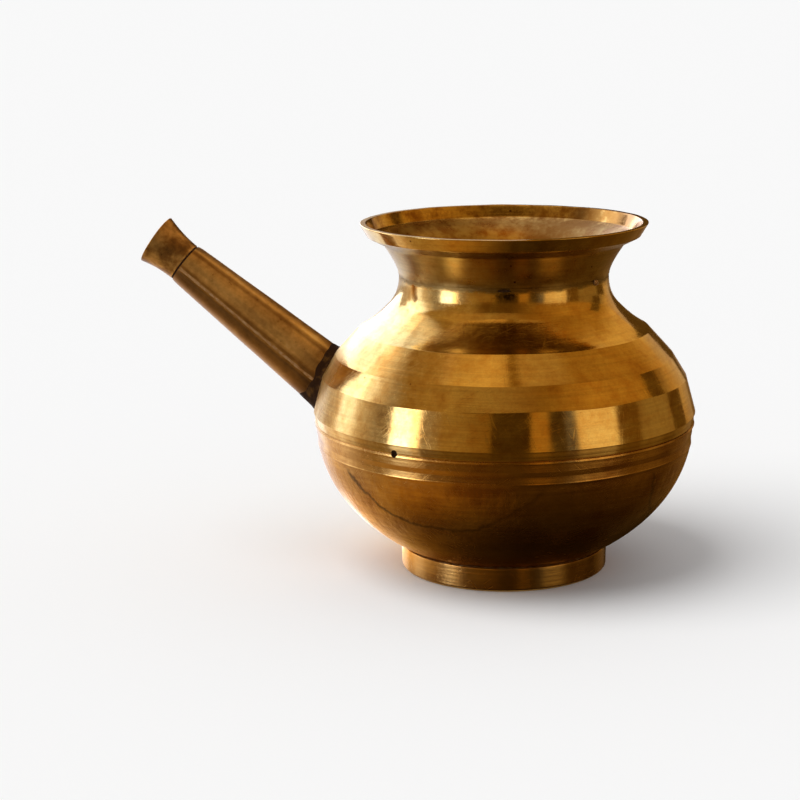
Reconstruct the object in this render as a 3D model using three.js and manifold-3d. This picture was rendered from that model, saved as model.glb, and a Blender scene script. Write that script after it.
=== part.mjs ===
// A brass karwa lota: a round water pot with a flared neck and a straight slanting spout.
// Millimetres, +Z up. The pot stands on its foot ring and its spout points along -X.
// The turned shells are brazed together one on top of the other, and the spout is soldered on.

import * as THREE from 'three';
import { mergeVertices } from 'three/addons/utils/BufferGeometryUtils.js';
import Module from 'manifold-3d';

const wasm = await Module();
wasm.setup();

// Wall and joints
const WALL = 1.8;
const JOINT_GAP = 0.3;
const REGISTER_WALL = 1.0;
const BRAZE_HEIGHT = 0.7;
const BRAZE_DEPTH = 0.9;

// Foot ring
const FOOT_RADIUS = 29.8;
const FOOT_HEIGHT = 7.5;
const FOOT_WALL = 2.6;
const FOOT_WAIST = 0.35;
const FOOT_EDGE = 0.5;
const FOOT_BRAZE = 0.4;

// Bowl, from the foot up to the belly seam
const BOWL_DISH = 5.0;
const FOOT_SETBACK = 0.4;
const BOWL_HEIGHT = 36.1;
const BOWL_INSET = 1.2;
const BOWL_BULGE_INSET = 3.6;
const BOWL_BULGE_HEIGHT = 11.3;
const BEAD_RELIEF = 0.6;
const LOWER_BEAD_HEIGHT = 2.7;
const GROOVE_HEIGHT = 1.2;
const GROOVE_DEPTH = 0.7;
const UPPER_BEAD_HEIGHT = 2.5;
const SEAM_RIM_INSET = 0.1;
const BOWL_REGISTER_HEIGHT = 2.0;

// Shoulder, from the belly seam up to the neck
const SEAM_BAND_HEIGHT = 2.4;
const SEAM_BAND_RECESS = 0.4;
const BELLY_RADIUS = 54.6;
const LOWER_BAND_HEIGHT = 10.1;
const LOWER_BAND_STEP = 2.7;
const MIDDLE_BAND_HEIGHT = 6.2;
const MIDDLE_BAND_STEP = 3.8;
const UPPER_BAND_HEIGHT = 7.3;
const UPPER_BAND_STEP = 6.7;
const THROAT_HEIGHT = 15.3;
const THROAT_BEND = 5.9;
const NECK_RADIUS = 29.7;

// Neck collar, from the neck up to the lip
const COLLAR_REGISTER_HEIGHT = 3.0;
const FLARE_HEIGHT = 9.3;
const FLARE_BEND = 1.8;
const FLARE_STEP = 4.2;
const RIM_UNDERSIDE_RISE = 2.4;
const RIM_STEP = 4.9;
const RIM_HEIGHT = 3.4;
const RIM_THICKNESS = 3.0;
const LIP_STEP = 1.9;
const LIP_EDGE = 1.4;
const COLLAR_BORE_BEND = 6.1;

// Spout, measured along its own axis from where that axis meets the belly
const SPOUT_ROOT_RISE = 11;
const SPOUT_ANGLE = 38.6;
const SPOUT_LENGTH = 51.8;
const SPOUT_ROOT_DIAMETER = 17.8;
const SPOUT_END_DIAMETER = 12.3;
const SPOUT_WALL = 1.2;
const SPOUT_HOLE_LEDGE = 0.8;
const SPOUT_SEAM_WIDTH = 1.0;
const SPOUT_SEAM_TURN = 17;
const SOLDER_LENGTH = 3.0;
const SOLDER_THICKNESS = 0.5;
const LIP_BRAZE = 0.5;
const LIP_SETBACK = 0.3;
const LIP_FLARE = 1.6;
const LIP_LENGTH = 10.5;
const LIP_BEND = 5.2;
const LIP_WALL = 1.2;
const LIP_SPIGOT_LENGTH = 4.0;
const LIP_SPIGOT_WALL = 0.8;

// Facets: steps round the pot, round the spout and along a curve
const POT_STEPS = 56;
const SPOUT_STEPS = 40;
const CURVE_STEPS = 6;

// Heights of the joints above the table
const seamZ = FOOT_HEIGHT + BOWL_HEIGHT;
const beltZ = seamZ + SEAM_BAND_HEIGHT;
const lowerBandZ = beltZ + LOWER_BAND_HEIGHT;
const middleBandZ = lowerBandZ + MIDDLE_BAND_HEIGHT;
const upperBandZ = middleBandZ + UPPER_BAND_HEIGHT;
const neckZ = upperBandZ + THROAT_HEIGHT;
const flareZ = neckZ + FLARE_HEIGHT;
const rimZ = flareZ + RIM_UNDERSIDE_RISE;
const lipZ = rimZ + RIM_HEIGHT;
const beadZ = seamZ - UPPER_BEAD_HEIGHT - GROOVE_HEIGHT - LOWER_BEAD_HEIGHT;

// Radii of the turned edges, each a step in or out from its neighbour
const bowlJointRadius = FOOT_RADIUS + FOOT_SETBACK;
const bowlRadius = BELLY_RADIUS - BOWL_INSET;
const bowlBulgeRadius = bowlRadius - BOWL_BULGE_INSET;
const seamRimRadius = BELLY_RADIUS - SEAM_RIM_INSET;
const lowerBandRadius = BELLY_RADIUS - LOWER_BAND_STEP;
const middleBandRadius = lowerBandRadius - MIDDLE_BAND_STEP;
const upperBandRadius = middleBandRadius - UPPER_BAND_STEP;
const flareRadius = NECK_RADIUS + FLARE_STEP;
const rimRadius = flareRadius + RIM_STEP;
const lipRadius = rimRadius + LIP_STEP;

// Where the spout's axis meets the lower band
const spoutRootZ = seamZ + SPOUT_ROOT_RISE;
const spoutRootShare = (spoutRootZ - beltZ) / LOWER_BAND_HEIGHT;
const spoutRootRadius = BELLY_RADIUS - LOWER_BAND_STEP * spoutRootShare;

// Radii of the fits, shared by the two sides of each joint
const bandRadius = BELLY_RADIUS - SEAM_BAND_RECESS;
const bellyBore = bandRadius - WALL;
const neckBore = NECK_RADIUS - WALL;
const spoutTaper = (SPOUT_ROOT_DIAMETER - SPOUT_END_DIAMETER) / 2 / SPOUT_LENGTH;
const spoutRadiusAt = (z) => SPOUT_ROOT_DIAMETER / 2 - spoutTaper * z;
const spoutEndBore = SPOUT_END_DIAMETER / 2 - SPOUT_WALL;
const spoutDepth = SPOUT_ROOT_DIAMETER;
const spoutHoleRadius = SPOUT_ROOT_DIAMETER / 2 - SPOUT_WALL - SPOUT_HOLE_LEDGE;

const at = (radius, height) => new THREE.Vector2(radius, height);

// Points of a quadratic curve, both ends included
function bend(from, control, to, steps = CURVE_STEPS) {
  return new THREE.QuadraticBezierCurve(from, control, to).getPoints(steps);
}

// A profile moved towards its left by a distance, which is inwards where it runs upwards
function offset(points, distance) {
  return points.map((point, i) => {
    const before = points[Math.max(i - 1, 0)];
    const after = points[Math.min(i + 1, points.length - 1)];
    const into = point.clone().sub(before).normalize();
    const out = after.clone().sub(point).normalize();
    const first = into.lengthSq() > 0 ? into : out;
    const last = out.lengthSq() > 0 ? out : into;
    const along = first.clone().add(last).normalize();
    const miter = 1 / Math.max(along.dot(first), 0.5);
    return at(point.x - along.y * distance * miter, point.y + along.x * distance * miter);
  });
}

// A turned solid about Z. The profile runs up the outside and down the inside,
// and either closes on itself or starts and ends on the axis.
function turned(profile, steps) {
  const onAxis = profile[0].x === 0;
  const loop = onAxis ? profile : [...profile, profile[0].clone()];
  const geometry = new THREE.LatheGeometry(loop, steps).rotateX(Math.PI / 2);
  return solid(geometry);
}

// A closed geometry as a solid for cutting and joining, without its slivers on the axis
function solid(geometry) {
  geometry.deleteAttribute('normal');
  geometry.deleteAttribute('uv');
  const merged = mergeVertices(geometry);
  const corners = merged.index.array;
  const triangles = [];
  for (let i = 0; i < corners.length; i += 3) {
    const [a, b, c] = corners.slice(i, i + 3);
    if (a !== b && b !== c && c !== a) triangles.push(a, b, c);
  }
  return new wasm.Manifold(new wasm.Mesh({
    numProp: 3,
    vertProperties: merged.attributes.position.array,
    triVerts: new Uint32Array(triangles),
  }));
}

// A solid as a named mesh with a material of its own
function part(name, body, color, roughness) {
  const { vertProperties, triVerts } = body.getMesh();
  const geometry = new THREE.BufferGeometry();
  geometry.setAttribute('position', new THREE.BufferAttribute(vertProperties, 3));
  geometry.setIndex(new THREE.BufferAttribute(triVerts, 1));
  geometry.computeVertexNormals();
  const material = new THREE.MeshStandardMaterial({ color, roughness, metalness: 1 });
  const mesh = new THREE.Mesh(geometry, material);
  mesh.name = name;
  return mesh;
}

// Outer curves of the bowl: the dish under the pot and the side above the foot
const bowlDishZ = FOOT_HEIGHT - BOWL_DISH;
const bowlJoint = at(bowlJointRadius, FOOT_HEIGHT);
const bowlBulge = at(bowlBulgeRadius, FOOT_HEIGHT + BOWL_BULGE_HEIGHT);
const bowlLean = (bowlBulgeRadius - bowlJointRadius) / BOWL_BULGE_HEIGHT;
const dishBend = at(bowlJointRadius - bowlLean * BOWL_DISH, bowlDishZ);
const dishCurve = bend(at(0, bowlDishZ), dishBend, bowlJoint);
const sideCurve = bend(bowlJoint, bowlBulge, at(bowlRadius, beadZ - BEAD_RELIEF));
const bowlCurve = [...dishCurve, ...sideCurve.slice(1)];

// Outer curves of the shoulder: three turned bands and the throat that draws in to the neck
const bandCorners = [
  at(BELLY_RADIUS, beltZ),
  at(lowerBandRadius, lowerBandZ),
  at(middleBandRadius, middleBandZ),
  at(upperBandRadius, upperBandZ),
];
const throatBend = at(NECK_RADIUS, upperBandZ + THROAT_BEND);
const throatCurve = bend(at(upperBandRadius, upperBandZ), throatBend, at(NECK_RADIUS, neckZ));
const shoulderCurve = [...bandCorners, ...throatCurve.slice(1)];

// The bowl, with two beads and a groove under the seam and a register that enters the shoulder
function bowlShell() {
  const beadRadius = bowlRadius + BEAD_RELIEF;
  const grooveZ = beadZ + LOWER_BEAD_HEIGHT;
  const grooveRadius = beadRadius - GROOVE_DEPTH;
  const beads = [
    at(beadRadius, beadZ),
    at(beadRadius, grooveZ),
    at(grooveRadius, grooveZ + GROOVE_HEIGHT / 2),
    at(beadRadius, grooveZ + GROOVE_HEIGHT),
    at(seamRimRadius, seamZ),
  ];
  const registerRadius = bellyBore - JOINT_GAP;
  const registerBore = registerRadius - REGISTER_WALL;
  const register = [
    at(registerRadius, seamZ),
    at(registerRadius, seamZ + BOWL_REGISTER_HEIGHT),
    at(registerBore, seamZ + BOWL_REGISTER_HEIGHT),
    at(registerBore, seamZ - WALL),
  ];
  const inside = offset(bowlCurve, WALL).reverse();
  inside[inside.length - 1] = at(0, bowlDishZ + WALL);
  return turned([...bowlCurve, ...beads, ...register, ...inside], POT_STEPS);
}

// The shoulder, with a rebate for the braze at its foot and a hole for the spout
function shoulderShell(hole) {
  const rebateRadius = bandRadius - BRAZE_DEPTH - JOINT_GAP;
  const rebateZ = seamZ + BRAZE_HEIGHT + JOINT_GAP;
  const outside = [
    at(bellyBore, seamZ),
    at(rebateRadius, seamZ),
    at(rebateRadius, rebateZ),
    at(bandRadius, rebateZ),
    at(bandRadius, beltZ),
    ...shoulderCurve,
  ];
  const inside = offset(shoulderCurve, WALL).reverse();
  inside[0] = at(neckBore, neckZ);
  inside[inside.length - 1] = at(bellyBore, beltZ);
  return turned([...outside, ...inside], POT_STEPS).subtract(hole);
}

// The collar: a flared neck with a heavy rim, and a register that enters the shoulder
function neckCollar() {
  const registerRadius = neckBore - JOINT_GAP;
  const registerBore = registerRadius - REGISTER_WALL;
  const registerZ = neckZ - COLLAR_REGISTER_HEIGHT;
  const rebateRadius = NECK_RADIUS - BRAZE_DEPTH - JOINT_GAP;
  const rebateZ = neckZ + BRAZE_HEIGHT + JOINT_GAP;
  const flareFoot = at(NECK_RADIUS, rebateZ);
  const flareTop = at(flareRadius, flareZ);
  const boreTop = at(rimRadius - RIM_THICKNESS, rimZ);
  const boreFoot = at(registerBore, neckZ);
  const profile = [
    at(registerBore, registerZ),
    at(registerRadius, registerZ),
    at(registerRadius, neckZ),
    at(rebateRadius, neckZ),
    at(rebateRadius, rebateZ),
    ...bend(flareFoot, at(NECK_RADIUS, rebateZ + FLARE_BEND), flareTop),
    at(rimRadius, rimZ),
    at(lipRadius, lipZ),
    at(lipRadius - LIP_EDGE, lipZ),
    ...bend(boreTop, at(registerBore, neckZ + COLLAR_BORE_BEND), boreFoot),
  ];
  return turned(profile, POT_STEPS);
}

// A ring of braze in a rebate, resting on the shell below and rounded outwards
function brazeRing(radius, z) {
  const inner = radius - BRAZE_DEPTH;
  const crown = at(radius + JOINT_GAP / 2, z + BRAZE_HEIGHT / 2);
  const profile = [
    at(inner, z),
    at(radius, z),
    crown,
    at(radius, z + BRAZE_HEIGHT),
    at(inner, z + BRAZE_HEIGHT),
  ];
  return turned(profile, POT_STEPS);
}

// Where the foot meets the dish: the height under the dish at a radius, a distance below it
function underDish(radius, distance) {
  const below = offset(bowlCurve, -distance);
  const next = below.findIndex((point) => point.x > radius);
  const [low, high] = [below[next - 1], below[next]];
  const share = (radius - low.x) / (high.x - low.x);
  return at(radius, low.y + share * (high.y - low.y));
}

// The foot: an open ring with a drawn-in side, its top turned to the slope of the dish
function footRing() {
  const bore = FOOT_RADIUS - FOOT_WALL;
  const clear = FOOT_BRAZE + 2 * JOINT_GAP;
  const outerTop = underDish(FOOT_RADIUS, clear);
  const innerTop = underDish(bore, clear);
  const waist = at(FOOT_RADIUS - 2 * FOOT_WAIST, (FOOT_EDGE + outerTop.y) / 2);
  const side = bend(at(FOOT_RADIUS, FOOT_EDGE), waist, outerTop, CURVE_STEPS / 2);
  return turned([at(bore, 0), at(FOOT_RADIUS - FOOT_EDGE, 0), ...side, innerTop], POT_STEPS);
}

// The braze between the foot and the dish: a thin cone that follows the dish
function footBraze() {
  const bore = FOOT_RADIUS - FOOT_WALL;
  const lower = JOINT_GAP + FOOT_BRAZE;
  const profile = [
    underDish(bore, lower),
    underDish(FOOT_RADIUS, lower),
    underDish(FOOT_RADIUS, JOINT_GAP),
    underDish(bore, JOINT_GAP),
  ];
  return turned(profile, POT_STEPS);
}

// The spout's own frame: its Z runs along the spout, and its X points up from the spout's top side
const spout = new THREE.Group();
spout.position.set(-spoutRootRadius, 0, spoutRootZ);
spout.rotation.y = THREE.MathUtils.degToRad(SPOUT_ANGLE - 90);
spout.updateMatrix();

// A solid taken from the pot's frame to the spout's frame
function inSpoutFrame(body) {
  return body.transform(spout.matrix.clone().invert().toArray());
}

// A length of the spout's cone, thickened outwards from an inner to an outer distance
function coneShell(from, to, inner, outer) {
  const profile = [
    at(spoutRadiusAt(from) + inner, from),
    at(spoutRadiusAt(from) + outer, from),
    at(spoutRadiusAt(to) + outer, to),
    at(spoutRadiusAt(to) + inner, to),
  ];
  return turned(profile, SPOUT_STEPS);
}

// The room that the pot takes up, a joint's gap larger, to cut the spout's root to the belly
function potRoom() {
  const skin = offset([...sideCurve, at(seamRimRadius, seamZ), ...shoulderCurve], -JOINT_GAP);
  const foot = at(0, skin[0].y);
  const top = at(0, skin[skin.length - 1].y);
  return inSpoutFrame(turned([foot, ...skin, top], POT_STEPS));
}

// The hole through the belly, on the spout's axis
function spoutHole() {
  const profile = [
    at(0, -spoutDepth),
    at(spoutHoleRadius, -spoutDepth),
    at(spoutHoleRadius, spoutDepth),
    at(0, spoutDepth),
  ];
  return turned(profile, SPOUT_STEPS).transform(spout.matrix.toArray());
}

// A slab along the spout's near side, where the rolled sheet's edges meet
function seamSlab(width) {
  const length = 2 * (SPOUT_LENGTH + spoutDepth);
  const geometry = new THREE.BoxGeometry(width, SPOUT_ROOT_DIAMETER, length);
  geometry.translate(0, -SPOUT_ROOT_DIAMETER / 2 - JOINT_GAP, 0);
  geometry.rotateZ(THREE.MathUtils.degToRad(-SPOUT_SEAM_TURN));
  return solid(geometry);
}

// The rolled tube of the spout, open along its seam and cut to the belly
function spoutTube(room) {
  const sheet = coneShell(-spoutDepth, SPOUT_LENGTH, -SPOUT_WALL, 0);
  return sheet.subtract(room).subtract(seamSlab(SPOUT_SEAM_WIDTH + 2 * JOINT_GAP));
}

// The braze that closes the tube's seam
function spoutSeamBraze(room) {
  const sheet = coneShell(-spoutDepth, SPOUT_LENGTH, -SPOUT_WALL, 0);
  return sheet.intersect(seamSlab(SPOUT_SEAM_WIDTH)).subtract(room);
}

// The solder round the root of the spout, longest on its underside
function spoutRootSolder(room) {
  const inner = JOINT_GAP;
  const outer = JOINT_GAP + SOLDER_THICKNESS;
  return coneShell(-spoutDepth, SOLDER_LENGTH, inner, outer).subtract(room);
}

// The flared mouthpiece, with a spigot inside the tube's end
const lipBaseZ = SPOUT_LENGTH + LIP_BRAZE + 2 * JOINT_GAP;
const lipTipZ = SPOUT_LENGTH + LIP_LENGTH;
const spigotRadius = spoutEndBore - JOINT_GAP;
const lipBaseRadius = SPOUT_END_DIAMETER / 2 - LIP_SETBACK;

function spoutLip() {
  const base = lipBaseRadius;
  const mouth = lipBaseRadius + LIP_FLARE;
  const bore = spigotRadius - LIP_SPIGOT_WALL;
  const spigotZ = SPOUT_LENGTH - LIP_SPIGOT_LENGTH;
  const bendZ = lipBaseZ + LIP_BEND;
  const flare = bend(at(base, lipBaseZ), at(base, bendZ), at(mouth, lipTipZ));
  const inside = bend(at(mouth - LIP_WALL, lipTipZ), at(bore, bendZ), at(bore, lipBaseZ));
  const spigot = [at(bore, spigotZ), at(spigotRadius, spigotZ), at(spigotRadius, lipBaseZ)];
  return turned([...spigot, ...flare, ...inside], SPOUT_STEPS);
}

// The thin ring of braze between the tube's end and the mouthpiece
function spoutLipBraze() {
  const low = SPOUT_LENGTH + JOINT_GAP;
  const high = low + LIP_BRAZE;
  const base = lipBaseRadius;
  const profile = [at(spoutEndBore, low), at(base, low), at(base, high), at(spoutEndBore, high)];
  return turned(profile, SPOUT_STEPS);
}

const room = potRoom();

spout.add(
  part('spout_tube', spoutTube(room), 0x7a4e18, 0.42),
  part('spout_seam_braze', spoutSeamBraze(room), 0x8c6a3a, 0.5),
  part('spout_root_solder', spoutRootSolder(room), 0x2a1a0c, 0.7),
  part('spout_lip_braze', spoutLipBraze(), 0x2e1a08, 0.6),
  part('spout_lip', spoutLip(), 0x74501c, 0.42),
);

const pot = new THREE.Group();
pot.add(
  part('foot_ring', footRing(), 0x9a6a22, 0.3),
  part('foot_braze', footBraze(), 0x5a3a12, 0.5),
  part('bowl_shell', bowlShell(), 0x8a5a1c, 0.32),
  part('belly_braze', brazeRing(bandRadius, seamZ), 0xb08040, 0.4),
  part('shoulder_shell', shoulderShell(spoutHole()), 0xc8923c, 0.2),
  part('neck_braze', brazeRing(NECK_RADIUS, neckZ), 0x6a4416, 0.5),
  part('neck_collar', neckCollar(), 0xb57f30, 0.22),
  spout,
);

// The frame's origin is on the table, under the middle of the pot and spout together
pot.updateMatrixWorld(true);
const middle = new THREE.Box3().setFromObject(pot).getCenter(new THREE.Vector3());
pot.position.set(-middle.x, -middle.y, 0);

const lota = new THREE.Group();
lota.add(pot);

export default lota;
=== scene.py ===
"""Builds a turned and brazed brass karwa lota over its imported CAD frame."""

from functools import partial
from math import atan, cos, exp, hypot, pi, radians, sin, tan

import bmesh
import bpy
from bpy.props import FloatProperty, FloatVectorProperty, PointerProperty, StringProperty
from mathutils import Matrix, Vector, noise


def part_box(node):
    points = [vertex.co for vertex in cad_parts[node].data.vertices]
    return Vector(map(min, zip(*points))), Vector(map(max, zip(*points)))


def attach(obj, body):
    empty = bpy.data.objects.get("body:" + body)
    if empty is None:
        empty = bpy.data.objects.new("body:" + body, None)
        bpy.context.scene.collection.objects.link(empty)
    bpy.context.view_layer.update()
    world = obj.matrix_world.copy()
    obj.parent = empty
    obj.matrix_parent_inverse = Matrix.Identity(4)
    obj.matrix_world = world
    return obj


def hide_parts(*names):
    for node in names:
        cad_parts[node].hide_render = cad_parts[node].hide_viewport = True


bl_info = {
    "name": "Brass Karwa Lota",
    "version": (1, 0, 0),
    "blender": (4, 5, 0),
    "location": "View3D > Sidebar > Lota",
    "description": "Builds a turned and brazed brass karwa lota over its CAD frame",
    "category": "Add Mesh",
}

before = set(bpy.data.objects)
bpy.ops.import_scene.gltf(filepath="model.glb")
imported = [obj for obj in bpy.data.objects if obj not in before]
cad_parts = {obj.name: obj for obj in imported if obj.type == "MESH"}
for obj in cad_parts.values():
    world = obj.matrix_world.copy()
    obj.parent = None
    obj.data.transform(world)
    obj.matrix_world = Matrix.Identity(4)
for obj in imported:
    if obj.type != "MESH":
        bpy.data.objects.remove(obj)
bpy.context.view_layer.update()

MM = 0.001
POT_STEPS = 288
SPOUT_STEPS = 96
SOLDER_STEPS = 120
TUBE_ROWS = 40
SOLDER_ROWS = 18
RIDGE_ROWS = 80
HOLE_STEPS = 48
SHARP_EDGE = radians(38)
WELD = 1e-7

# Sockets of a Mix node for colours: the share of the second colour, both colours, and the result
SHARE, FIRST, SECOND = 0, 6, 7
MIX_COLOURS = {"out": 2, "data_type": "RGBA"}

# Bearings round the pot in degrees: the spout points to 180, and the viewer stands at about 270
PINHOLE_BEARING = 243.5
FILLED_BEARING = 205
FLUX_BEARING = 277
DROP_BEARING = 334

# Turned details that two pieces or a piece and its material share
FOOT_WALL = 2.6 * MM
FOOT_GAP = 0.75 * MM
FOOT_FALL = 1.8 * MM
DISH_DEPTH = 5.0 * MM
BAND_STEP = 0.4 * MM
PINHOLE_RISE = 0.1 * MM
LIP_GAP = 0.55 * MM

collar_low, collar_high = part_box("neck_collar")
shoulder_low, shoulder_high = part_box("shoulder_shell")
POT_AXIS = Vector(((collar_low.x + collar_high.x) / 2, 0, 0))
POT_PLACE = Matrix.Translation(POT_AXIS)


# Sizes and finishes that a user would change

def length_field(name, description, default):
    """A length that a user can set."""
    return FloatProperty(name=name, description=description, default=default, unit="LENGTH")


def angle_field(name, description, default):
    """An angle that a user can set."""
    return FloatProperty(name=name, description=description, default=default, subtype="ANGLE")


def metal_field(name, description, default):
    """The colour of a metal that a user can set, as an sRGB hex value."""
    return StringProperty(name=name, description=description, default=default)


class LotaPotSizes(bpy.types.PropertyGroup):
    """Sizes of the pot that is turned about its upright axis."""

    wall: length_field("Wall", "Thickness of the turned shells", 1.8 * MM)
    foot_radius: length_field("Foot radius", "Outer radius of the foot ring", 29.8 * MM)
    foot_height: length_field("Foot height", "Height of the bowl's joint above the table", 7.5 * MM)
    belly_radius: length_field(
        "Belly radius", "Widest radius of the pot, at the belt above the seam",
        (shoulder_high.y - shoulder_low.y) / 2)
    seam_height: length_field("Seam height", "Height of the belly seam above the table", 43.6 * MM)
    lower_band: length_field("Lower band", "Height of the widest turned band", 10.1 * MM)
    middle_band: length_field("Middle band", "Height of the middle turned band", 6.2 * MM)
    upper_band: length_field("Upper band", "Height of the turned band under the throat", 7.3 * MM)
    neck_radius: length_field("Neck radius", "Outer radius at the narrowest part of the neck", 29.7 * MM)
    neck_height: length_field("Neck height", "Height of the neck's joint above the table", 84.9 * MM)
    lip_radius: length_field(
        "Lip radius", "Outer radius of the flared lip", (collar_high.y - collar_low.y) / 2)
    lip_height: length_field("Lip height", "Height of the lip above the table", collar_high.z)
    hand_wobble: length_field("Hand wobble", "How far a turned edge strays from a true circle", 0.28 * MM)


class LotaSpoutSizes(bpy.types.PropertyGroup):
    """Sizes of the rolled spout, measured along its own axis from the belly."""

    root_radius: length_field("Root distance", "Distance of the spout's root from the pot's axis", 52.3 * MM)
    root_height: length_field("Root height", "Height of the spout's root above the table", 54.5 * MM)
    slope: angle_field("Slope", "Rise of the spout above the level", radians(38.6))
    length: length_field("Length", "Length of the rolled tube", 51.8 * MM)
    root_diameter: length_field("Root diameter", "Outer diameter of the tube at the belly", 18.0 * MM)
    end_diameter: length_field("End diameter", "Outer diameter of the tube under its mouthpiece", 12.5 * MM)
    wall: length_field("Wall", "Thickness of the rolled sheet", 1.2 * MM)
    lip_length: length_field("Mouthpiece length", "Length of the flared mouthpiece", 10.6 * MM)
    lip_flare: length_field("Mouthpiece flare", "How far the mouthpiece widens", 1.6 * MM)
    seam_turn: angle_field("Seam turn", "How far the seam lies below the spout's near side", radians(5))


class LotaFinishes(bpy.types.PropertyGroup):
    """Colours of the metals, as sRGB hex values."""

    turned: metal_field("Turned brass", "Bright brass of the neck and shoulder", "#E7CB85")
    turned_tone: metal_field("Turned brass, toned", "Where the turned brass has browned", "#D2AB64")
    # The bowl's and foot's browner brass is partly real toning and partly painted shade
    bowl: metal_field("Bowl brass", "Browner brass of the bowl and foot", "#DBB36C")
    bowl_tone: metal_field("Bowl brass, toned", "Where the bowl has gone dark brown", "#A87A40")
    sheet: metal_field("Sheet brass", "Satin brass of the spout", "#D4A458")
    sheet_tone: metal_field("Sheet brass, toned", "Where the spout has browned", "#8A6028")
    braze: metal_field("Braze", "Spelter in the seams", "#BC9E74")
    solder: metal_field("Solder", "Solder with burnt flux", "#2B180A")


class LotaStageSizes(bpy.types.PropertyGroup):
    """The camera and the floor of the picture."""

    lens: FloatProperty(
        name="Lens", description="Focal length for a 36 mm sensor", default=86.98, subtype="DISTANCE_CAMERA")
    distance: length_field("Distance", "Level distance of the camera from the pot's axis", 0.5437)
    height: length_field("Height", "Height of the camera above the table", 0.1684)
    turn: angle_field("Turn", "How far the camera stands round from the pot's side", radians(6))
    pitch: angle_field("Pitch", "How far the camera looks down", 0.2175)
    aside: angle_field("Aside", "How far the camera looks towards the spout", atan(0.0536))
    floor_colour: FloatVectorProperty(
        name="Floor", description="Colour of the pale paper floor", default=(0.95, 0.95, 0.95), size=3,
        subtype="COLOR", min=0.0, max=1.0)


# Materials

def linear(code):
    """A linear colour from an sRGB hex value."""
    colour = []
    for i in (1, 3, 5):
        part = int(code[i:i + 2], 16) / 255
        colour.append(part / 12.92 if part <= 0.04045 else ((part + 0.055) / 1.055) ** 2.4)
    return (*colour, 1.0)


def ramp_colour(value):
    """A linear colour for a ramp from an sRGB hex value, a grey level or a linear colour."""
    if isinstance(value, str):
        return linear(value)
    return (value, value, value, 1.0) if isinstance(value, float) else value


def add_node(tree, kind, inputs=(), out=0, stops=(), **settings):
    """Adds a shader node, whose kind can end with an operation, and gives back one of its outputs.

    Its inputs go by name, or in order from the first.
    """
    family, _, operation = kind.partition(" ")
    made = tree.nodes.new("ShaderNode" + family)
    if operation:
        made.operation = operation
    for key, value in settings.items():
        setattr(made, key, value)
    by_socket = inputs if isinstance(inputs, dict) else dict(enumerate(inputs))
    for key, value in by_socket.items():
        socket = made.inputs[key]
        if isinstance(value, bpy.types.NodeSocket):
            tree.links.new(value, socket)
        else:
            socket.default_value = value
    if stops:
        elements = made.color_ramp.elements
        while len(elements) < len(stops):
            elements.new(0.5)
        for element, (position, value) in zip(elements, stops):
            element.position = position
            element.color = ramp_colour(value)
    return made.outputs[out] if made.outputs else None


def new_material(name):
    """An empty node material, and the function that adds nodes to it."""
    material = bpy.data.materials.new(name)
    material.use_nodes = True
    material.node_tree.nodes.clear()
    return material, partial(add_node, material.node_tree)


def textured(name, *textures):
    """A new material, its adder, the place, and noises from rows: mm wide, mm tall, detail, roughness."""
    material, add = new_material(name)
    place = add("TexCoord", out="Object")
    noises = []
    for wide, tall, detail, rough in textures:
        spread = add("Mapping", {
            "Vector": place, "Scale": (wide * MM, wide * MM, tall * MM)}, vector_type="TEXTURE")
        noises.append(add("TexNoise", {
            "Vector": spread, "Scale": 1.0, "Detail": detail, "Roughness": rough}))
    return material, add, place, *noises


def scratched(add, place, rough, height, depth):
    """Adds hair scratches about 6 mm long, which lie three ways, to a roughness and a height."""
    for lie in ((0.6, 0.9, 0.2), (-0.7, 0.3, 1.1), (1.2, -0.6, 0.4)):
        hairs = add("Mapping", {
            "Vector": place, "Rotation": lie, "Scale": (6 * MM, 6 * MM, 0.25 * MM)}, vector_type="TEXTURE")
        hair = add("TexNoise", {"Vector": hairs, "Scale": 1.0, "Detail": 1.0})
        scratch = add("MapRange", (hair, 0.64, 0.76))
        rough = add("Math MULTIPLY_ADD", (scratch, 0.3 * depth, rough))
        height = add("Math MULTIPLY_ADD", (scratch, -depth, height))
    return rough, height


def surface(add, colour, metal, rough, height, strength, depth, grain=0.0, shine=0.5):
    """Ends a material with a metal that has a small relief, and a grain that runs round the pot."""
    bump = add("Bump", {"Height": height, "Strength": strength, "Distance": depth})
    shade = add("BsdfPrincipled", {
        "Base Color": colour, "Metallic": metal, "Roughness": rough, "Specular IOR Level": shine,
        "Anisotropic": grain, "Anisotropic Rotation": 0.25 if grain else 0.0, "Normal": bump})
    add("OutputMaterial", (shade,))


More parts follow.
